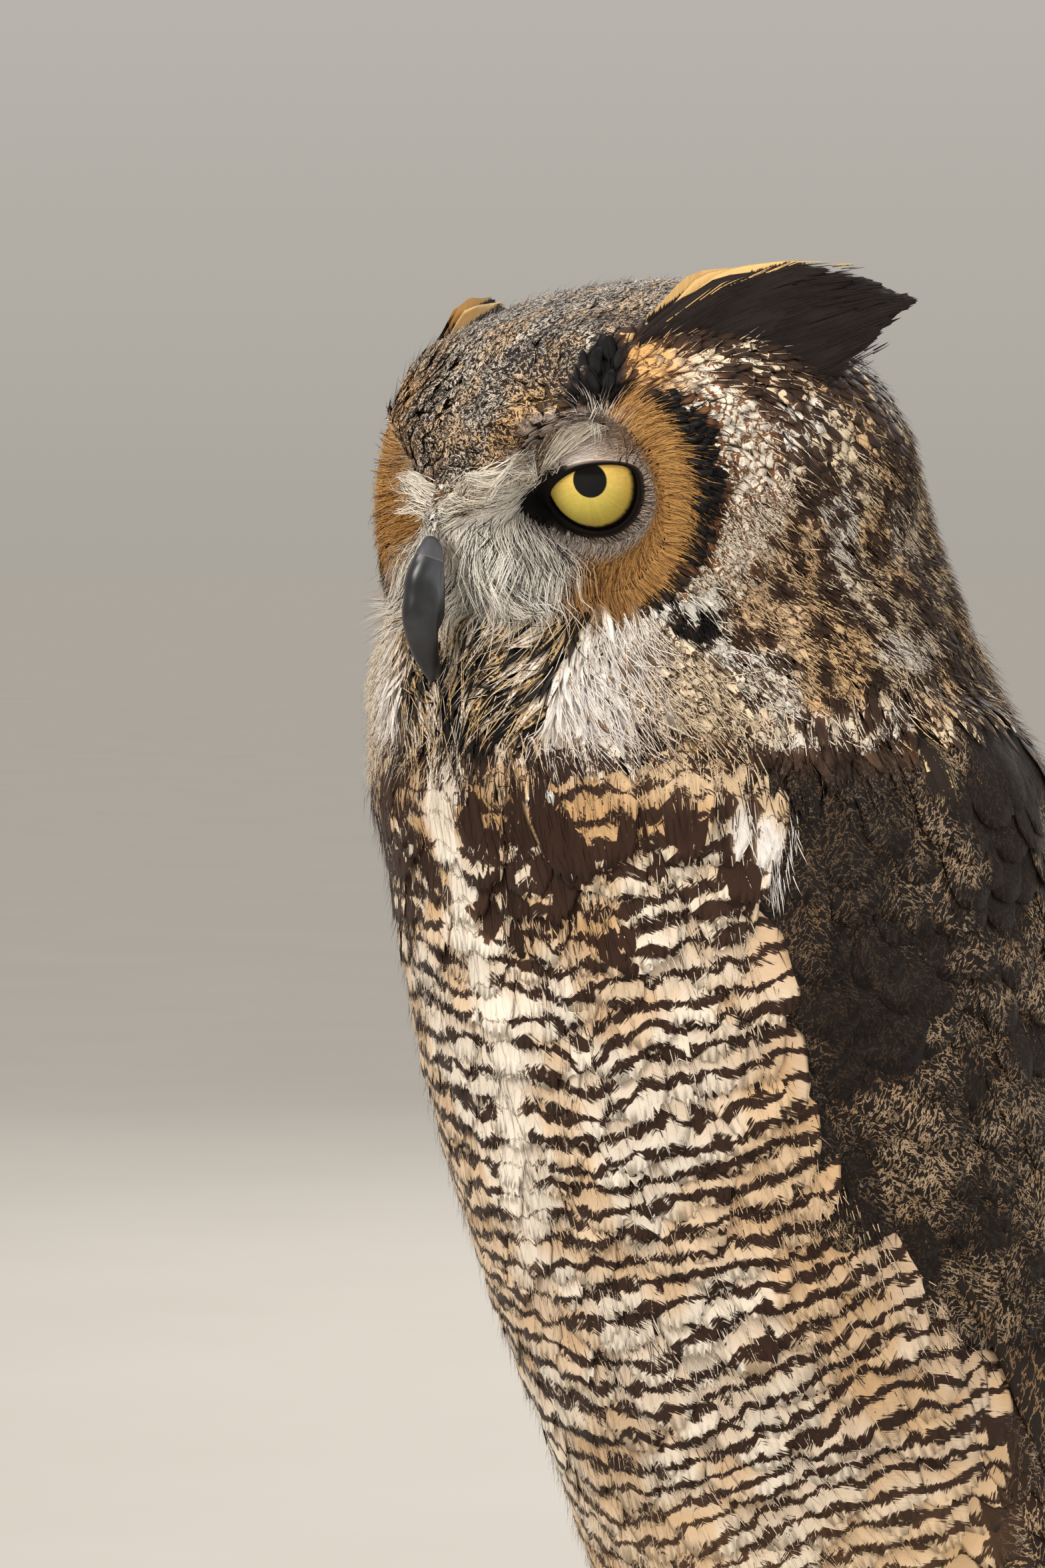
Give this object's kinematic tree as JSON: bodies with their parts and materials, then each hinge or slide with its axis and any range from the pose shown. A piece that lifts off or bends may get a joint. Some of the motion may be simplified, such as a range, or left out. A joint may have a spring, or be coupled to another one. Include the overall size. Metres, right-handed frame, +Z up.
{
  "type": "great horned owl",
  "caption": "Life-size great horned owl standing upright with folded wings, swept-back ear tufts and its head turned and bowed a little, as a still model.",
  "frame": {"origin": "on the floor, under the middle of the owl's footprint box", "axes": "+Z up, the body faces -Y, the owl's left side is +X"},
  "size_m": [0.1672, 0.302, 0.4162],
  "materials": {
    "plumage_head": "soft mottled feathers, dark brown and buff",
    "plumage_breast": "soft feathers, white and buff with brown bars",
    "plumage_wing": "sleek feathers, dark brown with pale vermiculation",
    "plumage_leg": "short dense feathers, buff",
    "horn": "polished slate-black keratin",
    "eye": "wet clear cornea over a yellow iris and black pupil"
  },
  "bodies": {
    "root": {"head": "plumage_head", "ear_tuft_left": "plumage_head", "ear_tuft_right": "plumage_head", "neck": "plumage_breast", "trunk": "plumage_breast", "wing_left": "plumage_wing", "wing_right": "plumage_wing", "primaries_left": "plumage_wing", "primaries_right": "plumage_wing", "tail": "plumage_wing", "leg_left": "plumage_leg", "leg_right": "plumage_leg", "foot_left": "plumage_leg", "foot_right": "plumage_leg", "bill_upper": "horn", "bill_lower": "horn", "claw_left_inner": "horn", "claw_left_middle": "horn", "claw_left_outer": "horn", "claw_left_hind": "horn", "eye_left": "eye", "claw_right_inner": "horn", "claw_right_middle": "horn", "claw_right_outer": "horn", "claw_right_hind": "horn", "eye_right": "eye"}
  },
  "joints": []
}
